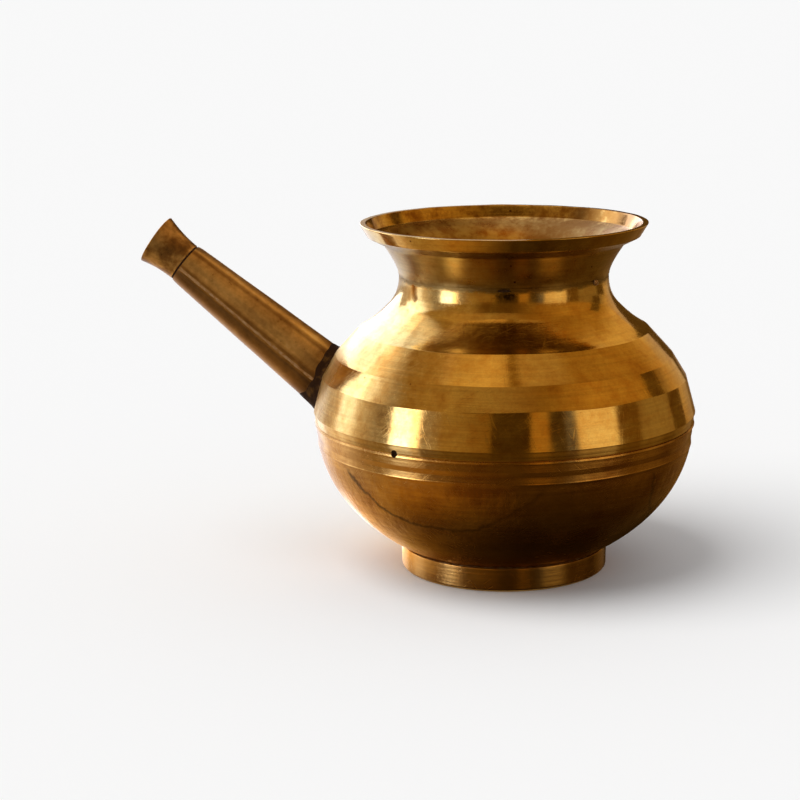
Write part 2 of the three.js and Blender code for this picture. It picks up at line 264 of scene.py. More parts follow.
def turned_brass(finish):
    """Cast yellow brass, turned and polished by hand."""
    # Turning leaves fine rings, which stretch a reflection up and down but not sideways.
    # Rings 0.15 mm apart are too fine to show, so they are drawn about 0.7 mm apart.
    # Scouring has left a fine grain and hair scratches, and use has left a few pits and brown clouds.
    # The collar's hollow above the neck's joint and its flare are painted darker as shade, and are duller;
    # metal that faces the pot's axis is blotched brown.
    # Flux that ran out of the joint has left a stain, and soldering has dulled the metal round the spout.
    material, add, place, ring, clouds, grime, grain = textured(
        "Yellow brass, hand turned and polished",
        (25, 1 / 1.4, 2.0, 0.6), (22, 22, 5.0, 0.62), (4, 4, 6.0, 0.7), (0.6, 0.6, 2.0, 0.6))
    pits = add("TexVoronoi", {"Vector": place, "Scale": 1 / (9 * MM), "Randomness": 1.0})
    pit = add("MapRange", (pits, 0.02, 0.05))
    tone = add("Math MULTIPLY", (clouds, grime))
    tone = add("Math MULTIPLY", (tone, pit))
    colour = add("ValToRGB", (tone,), stops=(
        (0.0, finish.solder), (0.08, finish.bowl_tone), (0.17, finish.turned_tone), (0.32, finish.turned)))

    # Painted shade by height, from the throat to the lip: darkest in the collar's hollow and darker over its
    # flare, which the same ramp makes duller
    level = add("SeparateXYZ", (place,), "Z")
    level = add("Math MULTIPLY_ADD", (grime, 3.0 * MM, level))
    level = add("MapRange", (level, 75.0 * MM, 101.5 * MM))
    shade_and_dull = add("ValToRGB", (level,), stops=(
        (0.1, 1.0), (0.25, 0.95), (0.39, 0.95), (0.42, 0.4), (0.44, 0.42), (0.48, 0.66), (0.84, 0.66),
        (0.87, 1.0)))
    speck = add("Math MULTIPLY_ADD", (grain, 0.5, ring))
    speck = add("MapRange", (speck, 0.5, 1.0, 0.84, 1.08))
    speck = add("Math MULTIPLY", (speck, shade_and_dull))
    colour = add("Mix", {SHARE: 1.0, FIRST: colour, SECOND: speck}, **MIX_COLOURS, blend_type="MULTIPLY")

    # The stain under the flux, about twice as wide as tall
    flux = POT_AXIS + polar(30.0 * MM, radians(FLUX_BEARING), 83.4 * MM)
    stain = add("VectorMath SUBTRACT", (place, flux))
    stain = add("VectorMath MULTIPLY", (stain, (1, 1, 1.9)))
    stain = add("VectorMath LENGTH", (stain,), "Value")
    stain = add("Math MULTIPLY_ADD", (grime, 10 * MM, stain))
    stain = add("Math MULTIPLY_ADD", (grain, 3 * MM, stain))
    stain = add("MapRange", (stain, 7.3 * MM, 9.3 * MM, 0.85, 0.0))
    colour = add("Mix", {SHARE: stain, FIRST: colour, SECOND: linear(finish.solder)}, **MIX_COLOURS)

    # Blotches where the metal faces the pot's axis
    spoke = add("Mapping", {"Vector": place, "Location": -POT_AXIS, "Scale": (1, 1, 0)})
    normal = add("TexCoord", out="Normal")
    facing = add("VectorMath DOT_PRODUCT", (spoke, normal), "Value")
    inside = add("MapRange", (facing, -6 * MM, -1 * MM, 1.0, 0.0))
    blotch = add("MapRange", (tone, 0.18, 0.3, 0.85, 0.12))
    inside = add("Math MULTIPLY", (inside, blotch))
    colour = add("Mix", {SHARE: inside, FIRST: colour, SECOND: linear(finish.sheet_tone)}, **MIX_COLOURS)

    # Roughness from grime, from the duller neck and from the heat round the spout's root
    rough = add("MapRange", (grime, 0.3, 0.7, 0.07, 0.17))
    worn = add("MapRange", (shade_and_dull, 0.4, 1.0, 0.32, 0.0))
    root = spout_place(bpy.context.scene.lota_spout).translation
    heated = add("VectorMath DISTANCE", (place, root), "Value")
    heated = add("Math MULTIPLY_ADD", (grime, 16 * MM, heated))
    heated = add("MapRange", (heated, 24 * MM, 36 * MM, 0.38, 0.0))
    for more in (worn, heated):
        rough = add("Math ADD", (rough, more))
    height = add("Math MULTIPLY", (ring, pit))
    height = add("Math MULTIPLY_ADD", (grain, 0.08, height))
    rough, height = scratched(add, place, rough, height, depth=0.24)
    surface(add, colour, 1.0, rough, height, strength=0.3, depth=0.05 * MM, grain=0.4)
    return material


def toned_brass(finish):
    """Cast brass, polished long ago and browned by handling and wet use; its browner tone is partly painted
    shade.
    """
    # Browning dulls the metal in soft clouds, and rubbing leaves fine scuffs round the bowl.
    # The casting was scraped by hand, which leaves ripples about 2 mm wide and 6 mm tall.
    # Two thin dark lines across the lower bowl are painted reflections, drawn where slanted planes cut it.
    material, add, place, ring, clouds, grime, ripple = textured(
        "Yellow brass, polished and toned brown",
        (1 / 0.045, 1 / 1.1, 3.0, 0.65), (26, 26, 4.0, 0.55), (3, 3, 5.0, 0.65), (2, 6.25, 3.0, 0.6))
    scuff = add("Math MULTIPLY_ADD", (ring, 0.3, clouds))
    scuff = add("Math MULTIPLY_ADD", (grime, 0.3, scuff))
    # The bowl's browner brass is partly real toning and partly painted shade for the shade that the lower
    # bowl mirrors
    colour = add("ValToRGB", (scuff,), stops=((0.66, finish.bowl_tone), (0.92, finish.bowl)))

    # Painted dark reflection lines: each plane's normal, its offset along the normal in mm, the line's width
    # and where it ends
    across = add("SeparateXYZ", (place,), "X")
    level = add("SeparateXYZ", (place,), "Z")
    below = add("MapRange", (level, 34.5 * MM, 36.5 * MM, 1.0, 0.0))
    for plane_normal, line_offset, width, stop in (
            ((-0.257, -0.951, 0.169), 47.6, 0.6, 60.0), ((1.0, 0.0, -0.08), 70.0, 0.5, 110.0)):
        off = add("VectorMath DOT_PRODUCT", (place, plane_normal), "Value")
        off = add("Math MULTIPLY_ADD", (clouds, 5.0 * MM, off))
        off = add("Math MULTIPLY_ADD", (grime, 2.4 * MM, off))
        off = add("Math SUBTRACT", (off, line_offset * MM))
        off = add("Math ABSOLUTE", (off,))
        line = add("MapRange", (off, 0.0, width * MM, 0.8, 0.0))
        fade = add("MapRange", (across, (stop - 65) * MM, stop * MM, 1.0, 0.0))
        for share in (fade, below):
            line = add("Math MULTIPLY", (line, share))
        colour = add("Mix", {SHARE: line, FIRST: colour, SECOND: linear(finish.solder)}, **MIX_COLOURS)

    # Scraped ripples from above the foot to below the beads
    above = add("MapRange", (level, 7.5 * MM, 9 * MM, 0.0, 3.2))
    scraped = add("Math MULTIPLY", (above, below))
    height = add("Math MULTIPLY_ADD", (grime, 0.8, ring))
    height = add("Math MULTIPLY_ADD", (ripple, scraped, height))
    rough = add("MapRange", (scuff, 0.6, 1.0, 0.3, 0.18))
    rough, height = scratched(add, place, rough, height, depth=0.14)
    surface(add, colour, 1.0, rough, height, strength=0.7, depth=0.08 * MM, grain=0.3)
    return material


def rolled_brass(finish):
    """Brass sheet, rolled to a cone and left satin."""
    # Rolling and filing leave streaks along the sheet, heat has browned it at its seam and root, and it is
    # darker towards the tip.
    # Streaks 0.3 mm apart are too fine to show, so they are drawn about 1 mm apart.
    # Handling has worn the mouthpiece bright in patches about 5 mm wide.
    # The oxide is thickest on the seam's side, which looks less like metal than the far side.
    spout = bpy.context.scene.lota_spout
    stand = spout_place(spout)
    material, add, place, clouds, grime, patches = textured(
        "Brass sheet, rolled and filed satin",
        (14, 14, 4.0, 0.55), (1.5, 1.5, 4.0, 0.6), (5, 5, 4.0, 0.6))
    own = add("Mapping", {
        "Vector": place, "Location": stand.translation, "Rotation": stand.to_euler()}, vector_type="TEXTURE")
    streaks = add("Mapping", {"Vector": own, "Scale": (1 / MM, 1 / MM, 0.028 / MM)})
    streak = add("TexNoise", {"Vector": streaks, "Scale": 1.0, "Detail": 3.0, "Roughness": 0.6})

    # Colour and oxide by shares of a turn from the seam: browner beside the seam, mostly below it, and a
    # dark line with a painted highlight near the top edge
    seam = 0.25 - spout.seam_turn / (2 * pi)
    around = add("TexGradient", (own,), "Fac", gradient_type="RADIAL")
    burn_and_glint = add("ValToRGB", (around,), stops=[(seam + share, level) for share, level in (
        (-0.21, 0.9), (-0.15, 0.72), (-0.07, 0.54), (-0.025, 0.42), (-0.014, 0.66), (0.012, 0.66),
        (0.02, 0.52), (0.045, 0.95), (0.1, 0.96), (0.145, 0.8), (0.162, 0.58), (0.178, 0.66), (0.195, 1.0),
        (0.23, 0.8))])
    oxide = add("ValToRGB", (around,), stops=[(seam + share, level) for share, level in (
        (-0.22, 0.97), (-0.12, 0.76), (0.2, 0.76), (0.3, 0.97))])

    # Soot near the root by shares of the length, a painted highlight on the edge at the foot of the
    # mouthpiece, and darker towards the tip
    length = spout.length + spout.lip_length
    edge = (spout.length + LIP_GAP) / length
    along = add("SeparateXYZ", (own,), "Z")
    along = add("MapRange", (along, 0.0, length))
    soot_and_edge_glint = add("ValToRGB", (along,), stops=(
        (0.02, 0.4), (0.13, 0.8), (0.8, 0.74), (edge - 0.003, 0.7), (edge, 1.0), (edge + 0.006, 0.9),
        (edge + 0.012, 0.68), (0.9, 0.69), (0.99, 0.55)))
    apart = add("MapRange", (along, edge - 0.002, edge - 0.001))
    patches = add("MapRange", (patches, 0.36, 0.64, 0.52, 1.15))
    burn_and_glint = add("Mix", {SHARE: apart, FIRST: burn_and_glint, SECOND: patches}, **MIX_COLOURS)
    tone = add("MapRange", (clouds, 0.3, 0.7, 0.48, 0.93))
    tone = add("Math MULTIPLY_ADD", (streak, 0.27, tone))
    tone = add("Math MULTIPLY_ADD", (grime, 0.7, tone))
    for share in (burn_and_glint, soot_and_edge_glint):
        tone = add("Math MULTIPLY", (tone, share))
    colour = add("ValToRGB", (tone,), stops=(
        (0.12, finish.solder), (0.5, finish.sheet_tone), (0.92, finish.sheet), (1.0, finish.bowl)))
    rough = add("MapRange", (grime, 0.3, 0.7, 0.27, 0.41))
    height = add("Math MULTIPLY_ADD", (grime, 0.3, streak))
    surface(add, colour, oxide, rough, height, strength=0.3, depth=0.08 * MM)
    return material


def brazing_spelter(finish):
    """Brazing spelter, run into a seam and dressed flush."""
    # Spelter is paler than the shells, with small pores that hold dirt.
    material, add, _, grain = textured("Brazing spelter, dressed", (1.6, 1.6, 5.0, 0.7))
    colour = add("ValToRGB", (grain,), stops=((0.38, finish.bowl_tone), (0.62, finish.braze)))
    surface(add, colour, 0.8, 0.45, grain, strength=0.25, depth=0.08 * MM)
    return material


def soft_solder(finish):
    """Soft solder under a crust of burnt flux."""
    # The crust is nearly black and matt, and the solder glints where the crust has come off.
    material, add, _, crust = textured("Soft solder with burnt flux", (2.2, 2.2, 6.0, 0.7))
    colour = add("ValToRGB", (crust,), stops=((0.52, finish.solder), (1.0, finish.sheet_tone)))
    metal = add("MapRange", (crust, 0.55, 0.7, 0.1, 0.3))
    surface(add, colour, metal, 0.7, crust, strength=0.7, depth=0.25 * MM, shine=0.06)
    return material


FINISH_MAKERS = {
    "turned_brass": turned_brass,
    "toned_brass": toned_brass,
    "rolled_brass": rolled_brass,
    "braze": brazing_spelter,
    "solder": soft_solder,
}


def dress(piece, slot):
    """Gives a piece the material of a slot, made on first use."""
    key = "lota_" + slot
    if key not in bpy.context.scene:
        material = FINISH_MAKERS[slot](bpy.context.scene.lota_finishes)
        bpy.context.scene[key] = material.name
    piece.data.materials.clear()
    piece.data.materials.append(bpy.data.materials[bpy.context.scene[key]])


# Shapes

def polar(radius, angle, height=0.0):
    """A point at a radius and an angle about the upright axis."""
    return Vector((radius * cos(angle), radius * sin(angle), height))


def corners(radius, height, *rows):
    """Corners of a profile from rows in mm: out from a radius, up from a height, and the rounding."""
    return [(radius + out * MM, height + up * MM, rounding * MM) for out, up, rounding in rows]


def bend(start, control, end, steps=16):
    """Corners along a quadratic curve, both ends included."""
    curve = []
    for i in range(steps + 1):
        t = i / steps
        a, b, c = (1 - t) ** 2, 2 * t * (1 - t), t ** 2
        curve.append((a * start[0] + b * control[0] + c * end[0],
                      a * start[1] + b * control[1] + c * end[1], 0.0))
    return curve


def inset(profile, depth):
    """The corners of a profile moved inwards by a wall's thickness."""
    moved = []
    for i, (radius, height, _) in enumerate(profile):
        before = Vector(profile[max(i - 1, 0)][:2])
        after = Vector(profile[min(i + 1, len(profile) - 1)][:2])
        along = (after - before).normalized()
        moved.append((max(radius - along.y * depth, 0.0), height + along.x * depth, 0.0))
    return moved


def rounded(before, corner, after, steps=4):
    """A corner of a profile as the points of a small arc, which takes less than half of each side."""
    here = Vector(corner[:2])
    rounding = corner[2]
    if rounding == 0 or before is None or after is None:
        return [here]
    back = Vector(before[:2]) - here
    on = Vector(after[:2]) - here
    bent = pi - back.angle(on)
    reach = max(rounding * tan(bent / 2), 0.01 * MM)
    reach = min(reach, 0.45 * back.length, 0.45 * on.length)
    start = here + back.normalized() * reach
    end = here + on.normalized() * reach
    return [Vector(spot[:2]) for spot in bend(start, here, end, steps)]


def trace(profile, counts, closed):
    """Points along a profile: small arcs at its corners and straights set closer near them."""
    arcs = []
    last = len(profile) - 1
    for i, corner in enumerate(profile):
        before = profile[i - 1] if i > 0 or closed else None
        after = profile[(i + 1) % len(profile)] if i < last or closed else None
        arcs.append(rounded(before, corner, after))
    points = list(arcs[0])
    stops = arcs[1:] + ([arcs[0][:1]] if closed else [])
    for arc, count in zip(stops, counts):
        start = points[-1]
        for j in range(1, count):
            share = (1 - cos(pi * j / count)) / 2
            points.append(start.lerp(arc[0], share))
        points.extend(arc)
    return points[:-1] if closed else points


def stray(angle, seed, size, lumps=2.2):
    """A smooth wander round a circle, as a hand tool leaves it. More lumps make it busier."""
    return noise.noise(polar(lumps, angle, 7.3 * seed)) * size


def lattice(rows, columns, ring, loop):
    """Faces between rows of points: the rows may close to a ring, and each row to a loop."""
    faces = []
    for i in range(rows if ring else rows - 1):
        on = (i + 1) % rows
        for j in range(columns if loop else columns - 1):
            up = (j + 1) % columns
            faces.append((i * columns + j, on * columns + j, on * columns + up, i * columns + up))
    return faces


def egg(centre, bearing, half_sizes, steps=20):
    """Points and faces of an egg with half sizes in mm: out along a bearing, to the side and up."""
    stretch = Matrix.Rotation(bearing, 3, "Z") @ Matrix.Diagonal(Vector(half_sizes) * MM)
    rows = steps // 2
    points = []
    for i in range(rows + 1):
        fall = pi * i / rows
        for j in range(steps):
            points.append(centre + stretch @ polar(sin(fall), 2 * pi * j / steps, cos(fall)))
    return points, lattice(rows + 1, steps, ring=False, loop=True)


def new_object(name, points, faces):
    """A mesh object in the scene."""
    mesh = bpy.data.meshes.new(name)
    mesh.from_pydata(points, [], faces)
    made = bpy.data.objects.new(name, mesh)
    bpy.context.scene.collection.objects.link(made)
    return made


def mend(mesh, weld=0.0):
    """Joins points that are closer than the weld and turns the faces outwards."""
    form = bmesh.new()
    form.from_mesh(mesh)
    if weld > 0:
        bmesh.ops.remove_doubles(form, verts=form.verts, dist=weld)
    bmesh.ops.recalc_face_normals(form, faces=form.faces)
    form.to_mesh(mesh)
    form.free()


def smooth(mesh):
    """Shades a mesh smooth, apart from its sharp edges."""
    mesh.shade_smooth()
    mesh.set_sharp_from_angle(angle=SHARP_EDGE)


def new_piece(name, points, faces, node, slot, finish=None):
    """A smooth piece that stands for a CAD node and rides on the pot, in its slot's or another finish."""
    piece = new_object(name, points, faces)
    mend(piece.data, WELD)
    smooth(piece.data)
    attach(piece, "root")
    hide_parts(node)
    dress(piece, finish or slot)
    return piece


def turn(name, profile, node, slot, place, steps=POT_STEPS, closed=True, pitch=0.9 * MM, finish=None):
    """A piece turned about its axis, from a profile for each angle. A pitch is the step on its straights."""
    plain = profile(0.0)
    ends = plain[1:] + (plain[:1] if closed else [])
    counts = []
    for a, b in zip(plain, ends):
        straight = (Vector(a[:2]) - Vector(b[:2])).length
        counts.append(max(1, round(straight / pitch)))
    points = []
    for i in range(steps):
        angle = 2 * pi * i / steps
        for spot in trace(profile(angle), counts, closed):
            points.append(place @ polar(spot.x, angle, spot.y))
    faces = lattice(steps, len(points) // steps, ring=True, loop=closed)
    return new_piece(name, points, faces, node, slot, finish)


def loft(name, loop, node, slot, place, steps=SPOUT_STEPS):
    """A closed skin through a loop of radii and lengths for each angle round the spout."""
    points = []
    for i in range(steps):
        angle = 2 * pi * i / steps
        points += [place @ polar(radius, angle, along) for radius, along in loop(angle)]
    return new_piece(name, points, lattice(steps, len(points) // steps, ring=True, loop=True), node, slot)


def cut(piece, points, faces):
    """Takes a closed shape away from a piece, and gives the cut faces the dark solder finish as painted
    shade in the hole.
    """
    cutter = new_object("cutter", points, faces)
    mend(cutter.data)
    dress(cutter, "solder")
    step = piece.modifiers.new("cut", "BOOLEAN")
    step.operation = "DIFFERENCE"
    step.solver = "EXACT"
    step.object = cutter
    step.material_mode = "TRANSFER"
    graph = bpy.context.evaluated_depsgraph_get()
    result = bpy.data.meshes.new_from_object(piece.evaluated_get(graph))
    piece.modifiers.remove(step)
    piece.data = result
    smooth(result)
    bpy.data.objects.remove(cutter)


# Profiles of the pot

def bowl_side(size):
    """Corners up the bowl from the middle of its dish to its beads."""
    bottom = size.foot_height - DISH_DEPTH
    joint = (size.foot_radius + 0.4 * MM, size.foot_height)
    bulge = (size.belly_radius - 4.8 * MM, size.foot_height + 11.3 * MM)
    top = (size.belly_radius - 1.2 * MM, size.seam_height - 7.0 * MM)
    lean = (bulge[0] - joint[0]) / (bulge[1] - joint[1])
    dish = (joint[0] - lean * DISH_DEPTH, bottom)
    return bend((0.0, bottom), dish, joint, 14) + bend(joint, bulge, top, 26)[1:]


def shoulder_side(size, angle):
    """Corners up the shoulder from the belt to the neck, strayed a little as turned by hand."""
    wobble = size.hand_wobble
    edge = 0.22 * MM
    radius = size.belly_radius
    belt = size.seam_height + 2.4 * MM
    lower = belt + size.lower_band
    middle = lower + size.middle_band
    upper = middle + size.upper_band + stray(angle, 3, wobble)
    bands = [
        (radius, belt, edge),
        (radius - 2.7 * MM, lower + stray(angle, 1, 1.5 * wobble), edge),
        (radius - 6.5 * MM, middle + stray(angle, 2, wobble), edge),
        (radius - 13.2 * MM, upper, edge),
    ]
    slope, knee, hollow, bottle, upright = corners(
        size.neck_radius, upper,
        (7.5, 2.2, 0), (3.3, 6.6, 0), (1.7, 8.25, 0), (0.85, 10.35, 0), (0, 12.5, 0))
    neck = (size.neck_radius, size.neck_height)
    throat = bend(bands[-1], slope, knee, 12)[1:] + bend(knee, hollow, bottle, 8)[1:]
    return bands + throat + bend(bottle, upright, neck, 8)[1:]


def foot_top(size):
    """Radius of the foot ring's bore and height of its outer edge."""
    return size.foot_radius - FOOT_WALL, size.foot_height - FOOT_GAP


def pinhole(size):
    """The blind casting hole that was left open above the belly seam."""
    bearing = radians(PINHOLE_BEARING)
    centre = POT_AXIS + polar(size.belly_radius, bearing, size.seam_height + PINHOLE_RISE)
    return egg(centre, bearing, (1.9, 1.05, 1.05))


def pinhole_shade_lining(size):
    """A dark cup in the solder finish that lines the casting hole, as painted shade."""
    place = POT_PLACE @ Matrix.Rotation(radians(PINHOLE_BEARING), 4, "Z")
    place = place @ Matrix.Translation((size.belly_radius, 0, size.seam_height + PINHOLE_RISE))
    place = place @ Matrix.Rotation(pi / 2, 4, "Y")
    cup = corners(
        0.0, 0.0,
        (0, -1.5, 0), (1.0, -1.35, 0.2), (1.25, -0.62, 0), (1.08, -0.62, 0), (0.8, -1.05, 0.2), (0, -1.2, 0))
    turn("pinhole_shade_lining", lambda angle: cup, "belly_braze", "solder", place,
         steps=32, closed=False, pitch=0.3 * MM)


# Places on the spout

def spout_place(spout):
    """The spout's own frame: Z along it, X out of its top side."""
    along = Vector((-cos(spout.slope), 0, sin(spout.slope)))
    top = Vector((sin(spout.slope), 0, cos(spout.slope)))
    columns = Matrix((top, along.cross(top), along)).transposed()
    root = POT_AXIS + Vector((-spout.root_radius, 0, spout.root_height))
    return Matrix.Translation(root) @ columns.to_4x4()


def belly_radius_at(size, height):
    """Outer radius of the pot at a height between the groove and the throat."""
    side = [(size.belly_radius - 1.0 * MM, size.seam_height - 7 * MM, 0.0), *shoulder_side(size, pi)]
    for low, high in zip(side, side[1:]):
        if height <= high[1]:
            share = (height - low[1]) / (high[1] - low[1])
            return low[0] + share * (high[0] - low[0])
    return side[-1][0]


def meet_belly(size, spout, angle, radius):
    """How far along the spout a line beside its axis leaves the belly, found by halving."""
    place = spout_place(spout)
    low, high = -12 * MM, 20 * MM
    for _ in range(30):
        middle = (low + high) / 2
        spot = place @ polar(radius, angle, middle)
        if hypot(spot.x - POT_AXIS.x, spot.y) > belly_radius_at(size, spot.z):
            high = middle
        else:
            low = middle
    return high


def tube_radius(spout, along):
    """Outer radius of the spout's cone at a distance along it."""
    taper = (spout.root_diameter - spout.end_diameter) / 2 / spout.length
    return spout.root_diameter / 2 - taper * along


# Operators

class LOTA_OT_foot(bpy.types.Operator):
    """Make the open foot ring that the pot stands on"""

    bl_idname = "lota.foot"
    bl_label = "Foot ring"

    def execute(self, context):
        size = context.scene.lota_pot
        outer = size.foot_radius
        bore, top = foot_top(size)

        def profile(angle):
            lean = stray(angle, 8, 0.06 * MM)
            return [
                (bore, 0.0, 0.2 * MM),
                *corners(outer, 0.0, (-0.15, 0, 0.8)),
                *corners(outer + lean, top, (-0.05, -0.1, 0.12)),
                *corners(outer, top, (-0.3, 0, 0.1)),
                (bore, top - FOOT_FALL, 0.0),
            ]

        turn("foot_ring_turned", profile, "foot_ring", "toned_brass", POT_PLACE)
        return {"FINISHED"}


class LOTA_OT_bowl(bpy.types.Operator):
    """Make the lower half of the body, with its two beads and groove"""

    bl_idname = "lota.bowl"
    bl_label = "Bowl"

    def execute(self, context):
        size = context.scene.lota_pot
        seam = size.seam_height
        bead = size.belly_radius - 0.7 * MM
        rim = size.belly_radius - 0.22 * MM
        register = size.belly_radius - 2.5 * MM
        outside = bowl_side(size)
        inside = inset(outside, size.wall)
        inside[0] = (0.0, outside[0][1] + size.wall, 0.0)

        def profile(angle):
            lift = stray(angle, 5, 0.5 * size.hand_wobble)
            # The crease at the seam is shallower where braze has filled it.
            crease = (0.7 - 0.45 * max(0.0, cos(angle - radians(FILLED_BEARING)))) * MM
            return [
                *outside,
                *corners(bead, seam + lift, (-0.4, -6.75, 0.12), (-0.3, -6.45, 0.1), (-0.36, -6.2, 0.2)),
                *corners(bead, seam + lift, (-0.36, -4.5, 0.5), (-0.1, -3.1, 0.6)),
                *corners(bead, seam, (-0.04, -2.1, 1.0), (0, -0.98, 0.1)),
                *corners(rim, seam, (0, -0.82, 0.08), (-0.13, -0.22, 0.06)),
                *corners(rim - crease, seam, (0, -0.16, 0), (0, 0, 0)),
                *corners(register, seam, (0, 0, 0), (0, 2.0, 0.2), (-1.0, 2.0, 0.2)),
                (register - 1.0 * MM, seam - size.wall, 0.0),
                *inside[::-1],
            ]

        piece = turn("bowl_turned", profile, "bowl_shell", "toned_brass", POT_PLACE, closed=False)
        cut(piece, *pinhole(size))
        return {"FINISHED"}


class LOTA_OT_shoulder(bpy.types.Operator):
    """Make the upper half of the body, with three turned bands and the throat"""

    bl_idname = "lota.shoulder"
    bl_label = "Shoulder"

    def execute(self, context):
        size = context.scene.lota_pot
        seam = size.seam_height
        band = size.belly_radius - BAND_STEP
        bore = band - size.wall

        def profile(angle):
            side = shoulder_side(size, angle)
            belt = side[0][1]
            inside = inset(side, size.wall)
            inside[0] = (bore, belt, 0.0)
            return [
                *corners(bore, seam, (0, 0.1, 0)),
                *corners(band, seam, (-0.9, 0.1, 0), (-0.9, 0.9, 0), (0, 0.9, 0.1)),
                (band, belt, 0.1 * MM),
                *side,
                *inside[::-1],
            ]

        piece = turn("shoulder_turned", profile, "shoulder_shell", "turned_brass", POT_PLACE)
        cut(piece, *self.spout_hole(context.scene.lota_spout))
        cut(piece, *pinhole(size))
        return {"FINISHED"}

    def spout_hole(self, spout):
        """Points and faces of the plain bore under the spout's root."""
        place = spout_place(spout)
        reach = 12 * MM
        radius = spout.root_diameter / 2 - spout.wall - 0.8 * MM
        points = []
        for along in (-reach, reach):
            for i in range(HOLE_STEPS):
                points.append(place @ polar(radius, 2 * pi * i / HOLE_STEPS, along))
        ends = [tuple(range(HOLE_STEPS)), tuple(range(HOLE_STEPS, 2 * HOLE_STEPS))]
        return points, ends + lattice(2, HOLE_STEPS, ring=False, loop=True)


class LOTA_OT_collar(bpy.types.Operator):
    """Make the flared neck with its heavy rim"""

    bl_idname = "lota.collar"
    bl_label = "Neck collar"

    def execute(self, context):
        size = context.scene.lota_pot
        neck, lip = size.neck_height, size.lip_height
        radius, edge = size.neck_radius, size.lip_radius
        bore = radius - 3.1 * MM
        foot, hollow = corners(radius, neck, (0.15, 0.7, 0), (0.3, 3.2, 0))
        flare, step = corners(edge, lip, (-6.5, -5.9, 0), (-3.5, -3.75, 0))

        def profile(angle):
            drop = stray(angle, 6, 0.14 * MM, lumps=4) - 0.12 * MM
            return [
                *corners(bore, neck, (0, -3.0, 0.2)),
                *corners(radius, neck, (-2.1, -3.0, 0.2), (-2.1, 0, 0), (-0.9, 0, 0), (-0.9, 0.7, 0)),
                *bend(foot, hollow, flare, 14),
                *corners(edge, lip, (-2.15, -3.75, 0.25), (-0.06, -0.3, 0.2)),
                *corners(edge, lip + drop, (-0.15, 0, 0.2), (-1.7, 0, 0.3)),
                *corners(edge, lip, (-3.1, -3.5, 0.2)),
                *bend(step, (bore + 0.6 * MM, neck + 6.6 * MM), (bore, neck), 18),
            ]

        turn("neck_collar_turned", profile, "neck_collar", "turned_brass", POT_PLACE)
        return {"FINISHED"}


class LOTA_OT_brazes(bpy.types.Operator):
    """Make the rings of braze in the three turned joints, with their drops and flux"""

    bl_idname = "lota.brazes"
    bl_label = "Rings of braze"

    def execute(self, context):
        size = context.scene.lota_pot
        seam = size.seam_height
        band = size.belly_radius - BAND_STEP
        height, radius = size.neck_height, size.neck_radius

        def belly(angle):
            sink = stray(angle, 11, 0.05 * MM, lumps=6)
            return [
                *corners(band, seam, (-0.9, 0, 0)),
                *corners(band + sink, seam, (-0.07, 0, 0.1)),
                *corners(band, seam, (-0.02, 0.9, 0), (-0.9, 0.9, 0)),
            ]

        def neck(angle):
            out = stray(angle, 12, 0.1 * MM, lumps=5)
            return [
                *corners(radius, height, (-0.9, 0, 0), (-0.1, 0, 0)),
                *corners(radius + out, height, (-0.12, 0.3, 0.15)),
                *corners(radius, height, (-0.02, 0.8, 0), (-0.9, 0.8, 0)),
            ]

        def foot(angle):
            bore, top = foot_top(size)
            return [
                (bore, top - FOOT_FALL, 0.0),
                *corners(size.foot_radius, top, (-1.2, -0.8, 0), (-1.2, -0.05, 0)),
                *corners(bore, top, (0, -0.6, 0)),
            ]

        # The rings at belly and neck were polished with the shells.
        for name, profile, node, finish in (
                ("belly_braze_ring", belly, "belly_braze", "turned_brass"),
                ("neck_braze_ring", neck, "neck_braze", "turned_brass"),
                ("foot_braze_ring", foot, "foot_braze", "braze")):
            piece = turn(name, profile, node, "braze", POT_PLACE, pitch=0.4 * MM, finish=finish)
            if node == "belly_braze":
                cut(piece, *pinhole(size))
        # A dark cup in the casting hole, as painted shade
        pinhole_shade_lining(size)
        self.lump(size, "neck_braze_drop", "braze", DROP_BEARING, (0.6, 1.1, 0.8), 51)
        self.lump(size, "neck_flux_crust", "solder", FLUX_BEARING, (0.24, 1.9, 0.42), 52)
        return {"FINISHED"}

    def lump(self, size, name, slot, degrees, half_sizes, seed):
        """A drop that ran out of the neck's joint and set in the crease."""
        bearing = radians(degrees)
        centre = POT_AXIS + polar(size.neck_radius + 0.15 * MM, bearing, size.neck_height - 0.1 * MM)
        points, faces = egg(centre, bearing, half_sizes, 28)
        lumps_per_metre, lumpiness = 900, 0.45
        for spot in points:
            wave = noise.noise(spot * lumps_per_metre + Vector((seed, 0, 0)))
            spot += (spot - centre) * (lumpiness * wave)
        new_piece(name, points, faces, "neck_braze", slot)


